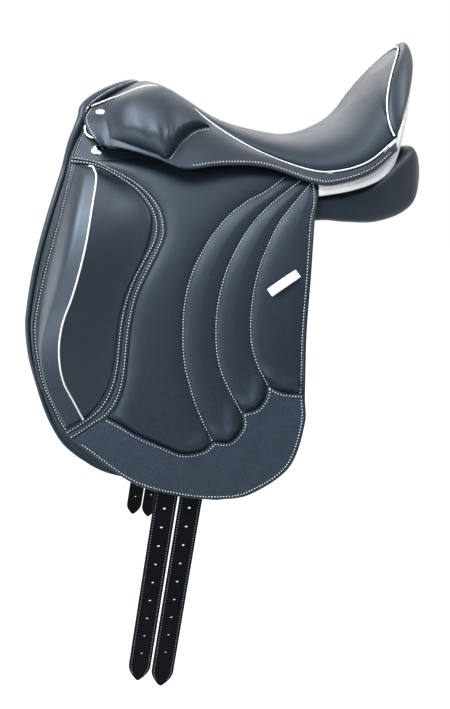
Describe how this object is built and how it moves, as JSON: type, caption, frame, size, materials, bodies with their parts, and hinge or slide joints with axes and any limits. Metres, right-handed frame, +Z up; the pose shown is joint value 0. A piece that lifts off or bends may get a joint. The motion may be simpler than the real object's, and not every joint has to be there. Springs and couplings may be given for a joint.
{
  "type": "dressage saddle",
  "caption": "Dressage saddle with a deep seat on a wooden tree, long lifting flaps with outside knee blocks, panels, white piping, stirrup bars and long girth straps with buckle holes.",
  "frame": {"origin": "on the centre plane, at the height of the panels' inner edges on the horse's back, about half way along the seat", "axes": "+Z up, +X from the pommel to the cantle, +Y to the off (right) side"},
  "size_m": [0.5248, 0.4566, 0.8266],
  "materials": {
    "seat_leather": "soft drum-dyed black leather, satin",
    "flap_leather": "smooth black leather with blue-grey satin reflections",
    "grip_leather": "pebble-grained black leather",
    "panel_leather": "soft black panel leather",
    "strap_leather": "near-black waxed strap leather",
    "white_piping": "white leather piping",
    "white_patent": "white to silver patent leather",
    "tree_wood": "laminated beech",
    "spring_steel": "plain steel",
    "chrome": "polished",
    "rivet_copper": "copper-coloured rivets",
    "canvas_web": "woven canvas web",
    "seat_foam": "latex foam"
  },
  "bodies": {
    "saddle": {"tree": "tree_wood", "head_plate": "spring_steel", "spring_steels": "spring_steel", "tree_rivets": "rivet_copper", "seat_webs": "canvas_web", "seat_foam": "seat_foam", "seat_cover": "seat_leather", "cantle_cover": "seat_leather", "cantle_piping": "white_piping", "near_welt": "white_piping", "off_welt": "white_piping", "rear_facing": "white_patent", "front_roll": "seat_leather", "near_stirrup_bar": "spring_steel", "off_stirrup_bar": "spring_steel", "near_flap_head": "flap_leather", "off_flap_head": "flap_leather", "near_sweat_flap": "panel_leather", "off_sweat_flap": "panel_leather", "near_panel": "panel_leather", "off_panel": "panel_leather", "point_pockets": "strap_leather", "saddle_nails": "white_piping", "flap_studs": "chrome", "girth_webs": "canvas_web", "d_ring_chapes": "strap_leather", "near_front_strap": "strap_leather", "off_front_strap": "strap_leather", "near_rear_strap": "strap_leather", "off_rear_strap": "strap_leather", "near_skirt": "flap_leather", "off_skirt": "flap_leather", "near_skirt_pad": "flap_leather", "off_skirt_pad": "flap_leather"},
    "near_flap": {"near_flap": "flap_leather", "near_knee_block": "flap_leather", "near_block_piping": "white_piping", "near_block_strip": "flap_leather", "near_grip_piece": "grip_leather", "near_quilting": "flap_leather", "near_keeper": "white_patent"},
    "off_flap": {"off_flap": "flap_leather", "off_knee_block": "flap_leather", "off_block_piping": "white_piping", "off_block_strip": "flap_leather", "off_grip_piece": "grip_leather", "off_quilting": "flap_leather", "off_keeper": "white_patent"},
    "near_front_strap_tail": {"near_front_strap_tail": "strap_leather"},
    "off_front_strap_tail": {"off_front_strap_tail": "strap_leather"},
    "near_rear_strap_tail": {"near_rear_strap_tail": "strap_leather"},
    "off_rear_strap_tail": {"off_rear_strap_tail": "strap_leather"},
    "near_d_ring": {"near_d_ring": "chrome"},
    "off_d_ring": {"off_d_ring": "chrome"},
    "near_bar_catch": {"near_bar_catch": "spring_steel"},
    "off_bar_catch": {"off_bar_catch": "spring_steel"}
  },
  "joints": [
    {"name": "near_flap_lift", "type": "hinge", "parent": "saddle", "child": "near_flap", "pos_m": [-0.217, -0.10004, 0.061], "axis": [-0.9749, 0.1652, 0.1493], "range_deg": [0, 50]},
    {"name": "off_flap_lift", "type": "hinge", "parent": "saddle", "child": "off_flap", "pos_m": [-0.217, 0.10004, 0.061], "axis": [0.9749, 0.1652, -0.1493], "range_deg": [0, 50]},
    {"name": "near_front_strap_tail_swing", "type": "hinge", "parent": "saddle", "child": "near_front_strap_tail", "pos_m": [-0.114, -0.20575, -0.356], "axis": [-0.982, 0.0859, 0.1685], "range_deg": [0, 60]},
    {"name": "off_front_strap_tail_swing", "type": "hinge", "parent": "saddle", "child": "off_front_strap_tail", "pos_m": [-0.114, 0.20575, -0.356], "axis": [0.982, 0.0859, -0.1685], "range_deg": [0, 60]},
    {"name": "near_rear_strap_tail_swing", "type": "hinge", "parent": "saddle", "child": "near_rear_strap_tail", "pos_m": [-0.083, -0.20846, -0.356], "axis": [-0.982, 0.0859, 0.1685], "range_deg": [0, 60]},
    {"name": "off_rear_strap_tail_swing", "type": "hinge", "parent": "saddle", "child": "off_rear_strap_tail", "pos_m": [-0.083, 0.20846, -0.356], "axis": [0.982, 0.0859, -0.1685], "range_deg": [0, 60]},
    {"name": "near_d_ring_swing", "type": "hinge", "parent": "saddle", "child": "near_d_ring", "pos_m": [-0.181, -0.08783, 0.093], "axis": [0.0474, 0.5423, 0.8388], "range_deg": [0, 25]},
    {"name": "off_d_ring_swing", "type": "hinge", "parent": "saddle", "child": "off_d_ring", "pos_m": [-0.181, 0.08783, 0.093], "axis": [-0.0474, 0.5423, -0.8388], "range_deg": [0, 25]},
    {"name": "near_bar_catch_turn", "type": "hinge", "parent": "saddle", "child": "near_bar_catch", "pos_m": [-0.087, -0.0887, 0.082], "axis": [0, -1, 0], "range_deg": [0, 75]},
    {"name": "off_bar_catch_turn", "type": "hinge", "parent": "saddle", "child": "off_bar_catch", "pos_m": [-0.087, 0.0887, 0.082], "axis": [0, -1, 0], "range_deg": [0, 75]}
  ]
}
